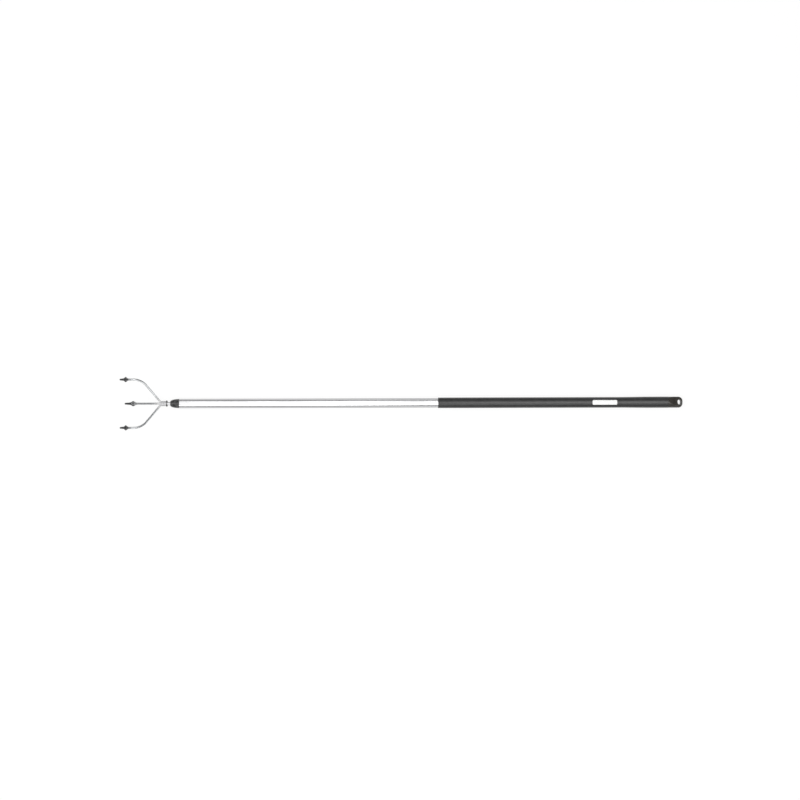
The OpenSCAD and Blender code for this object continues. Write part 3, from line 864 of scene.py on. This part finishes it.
def netted(field, low, high, cell, slides=5):
    """Points and faces of the skin where a field is zero. Each cell of a grid that the skin passes
    gets the mean of the places where it crosses the cell's edges, each crossed edge joins its four
    cells by a face, and the points then slide along the field's slope on to the skin."""
    axes = [np.arange(a - 2 * cell, b + 3 * cell, cell) for a, b in zip(low, high)]
    nodes = np.stack(np.meshgrid(*axes, indexing="ij"), axis=-1)
    value = field(nodes)
    cells = np.array(value.shape) - 1
    total = np.zeros((*cells, 3))
    count = np.zeros(cells)
    crossed = []
    for axis in range(3):
        first = np.delete(np.moveaxis(value, axis, 0), -1, axis=0)
        second = np.delete(np.moveaxis(value, axis, 0), 0, axis=0)
        cross = np.moveaxis((first < 0) != (second < 0), 0, axis)
        share = np.moveaxis(first / np.where(first == second, 1, first - second), 0, axis)
        ends = [slice(0, -1) if other == axis else slice(None) for other in range(3)]
        place = nodes[tuple(ends)] + share[..., None] * cell * np.eye(3)[axis]
        place = np.where(cross[..., None], place, 0)
        others = [other for other in range(3) if other != axis]
        for shift in ((0, 0), (1, 0), (1, 1), (0, 1)):
            part = [slice(None)] * 3
            for other, step in zip(others, shift):
                part[other] = slice(step, step + cells[other])
            total += place[tuple(part)]
            count += cross[tuple(part)]
        crossed.append((cross, others))
    used = count > 0
    number = np.cumsum(used.ravel()).reshape(used.shape) - 1
    faces = []
    for cross, others in crossed:
        edge = np.argwhere(cross)
        corners = []
        for shift in ((0, 0), (1, 0), (1, 1), (0, 1)):
            cell_of = edge.copy()
            cell_of[:, others] -= shift
            corners.append(number[tuple(cell_of.T)])
        faces.append(np.stack(corners, axis=-1))
    points = total[used] / count[used][:, None]
    nudge = 0.01 * cell
    for _ in range(slides):
        rises = [field(points + nudge * axis) - field(points - nudge * axis) for axis in np.eye(3)]
        slope = np.stack(rises, axis=-1) / (2 * nudge)
        points = points - slope * (field(points) / np.sum(slope ** 2, axis=-1))[:, None]
    return points, np.concatenate(faces)


warm_black = moulded("cap_nylon", cap_dark, cap_light, patch=14 * MM, depth=0.02 * MM, rough=0.4)
cap_box = ((cap_seam, -cap_r, axis_z - cap_r), (cap_seam + cap_len, cap_r, axis_z + cap_r))
end_cap = sewn("end_cap_moulded", *netted(cap_field, *cap_box, cap_cell))
spigot_stop = cap_seam + spigot_reach
spigot_outline = barrel(cap_low.x, spigot_stop, spigot_r - spigot_wall, spigot_r, spigot_edge)
cap_spigot = skin("end_cap_spigot", [turned(spigot_outline, sides=72)])
for moulding in (end_cap, cap_spigot):
    moulding.data.materials.append(warm_black)
    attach(moulding, "root")
    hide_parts("end_cap")


# Stage
# A white floor, far lamps over the tool, at its sides and at its ends, a low strip that only the
# gloss of the grip shows, a wide fill that no gloss shows, and a camera far above that looks down.
floor_half = 8.0
floor_drop = 0.1 * MM
floor_grey = 0.3
floor_shadow = 0.12
world_grey = 0.28
# Each lamp has its place, the point it aims at, its two sizes, its turn in degrees and its radiance.
lamps = {
    "lamp_overhead": ((-0.4, 0, 13), (-0.4, 0, 0), (2.0, 12.1), 0, 1.65),
    "lamp_near_side": ((-0.55, -8.783, 9.585), (-0.55, 0, 0), (1.7, 8.2), 0, 1.6),
    "lamp_far_side": ((-0.55, 8.783, 9.585), (-0.55, 0, 0), (1.7, 8.2), 0, 1.6),
    "lamp_grip": ((0.515, 0, 0.5), (0.515, 0, 0), (0.87, 0.38), 0, 2.0),
    "lamp_claw": ((-0.239, -2.185, 2.0), (-0.72, 0.035, 0.04), (2.4, 0.9), 27, 2.0),
    "lamp_tine": ((1.18, 0, 2.36), (-0.7, 0, 0.03), (1.5, 0.9), 0, 0.75),
    "lamp_front": ((-1.824, 0, 2.8), (-0.7, 0, 0.02), (2.2, 1.95), 0, 1.3),
    "lamp_claw_end": ((-4.45, 0, 2.27), (0, 0, 0), (3.0, 2.1), 0, 1.0),
    "lamp_grip_end": ((4.89, 0, 1.04), (0, 0, 0), (3.0, 1.4), 0, 0.7),
    "lamp_fill": ((0, 0, 6), (0, 0, 0), (8, 8), 0, 1.35),
}
camera_place = (-0.0027, 0.0082, 14.0)
camera_roll = np.radians(-0.160)
camera_lens = 225
camera_reach = 60

floor_mesh = bpy.data.meshes.new("floor")
floor_mesh.from_pydata(
    [(x * floor_half, y * floor_half, -floor_drop) for x, y in ((-1, -1), (1, -1), (1, 1), (-1, 1))],
    [],
    [(0, 1, 2, 3)],
)
floor = bpy.data.objects.new("floor", floor_mesh)
bpy.context.collection.objects.link(floor)
paper = plain_finish("paper", (floor_grey,) * 3, roughness=0.9, specular=0.0)
seen = wire(paper, "LightPath", {}).outputs
in_view = seen["Is Camera Ray"]
for ray in ("Is Glossy Ray", "Is Transmission Ray"):
    in_view = wire(paper, "Math", {0: in_view, 1: seen[ray]}, operation="MAXIMUM").outputs["Value"]
white = wire(paper, "Emission", {"Color": (1, 1, 1, 1), "Strength": 1.0})
lit = wire(paper, "BsdfDiffuse", {"Color": (1, 1, 1, 1)})
shown = wire(paper, "MixShader", {0: floor_shadow, 1: white.outputs[0], 2: lit.outputs[0]})
shade = paper.node_tree.nodes["Principled BSDF"]
chosen = wire(paper, "MixShader", {0: in_view, 1: shade.outputs[0], 2: shown.outputs[0]})
paper.node_tree.links.new(chosen.outputs[0], paper.node_tree.nodes["Material Output"].inputs["Surface"])
floor_mesh.materials.append(paper)

world = bpy.data.worlds.new("studio")
world.use_nodes = True
world.node_tree.nodes["Background"].inputs["Color"].default_value = (world_grey, world_grey, world_grey, 1)
bpy.context.scene.world = world
for name, (place, aim, size, turn, radiance) in lamps.items():
    light = bpy.data.lights.new(name, "AREA")
    light.shape = "RECTANGLE"
    light.size, light.size_y = size
    light.energy = np.pi * size[0] * size[1] * radiance
    lamp = bpy.data.objects.new(name, light)
    lamp.location = place
    facing = (Vector(aim) - Vector(place)).to_track_quat("-Z", "Y")
    lamp.rotation_euler = (facing @ Quaternion((0, 0, 1), np.radians(turn))).to_euler()
    lamp.visible_camera = False
    lamp.visible_glossy = name != "lamp_fill"
    lamp.visible_diffuse = name != "lamp_grip"
    bpy.context.collection.objects.link(lamp)

lens = bpy.data.cameras.new("camera")
lens.lens = camera_lens
lens.clip_end = camera_reach
camera = bpy.data.objects.new("camera", lens)
camera.location = camera_place
camera.rotation_euler = (0, 0, camera_roll)
bpy.context.collection.objects.link(camera)
bpy.context.scene.camera = camera
bpy.context.scene.view_settings.view_transform = "Standard"
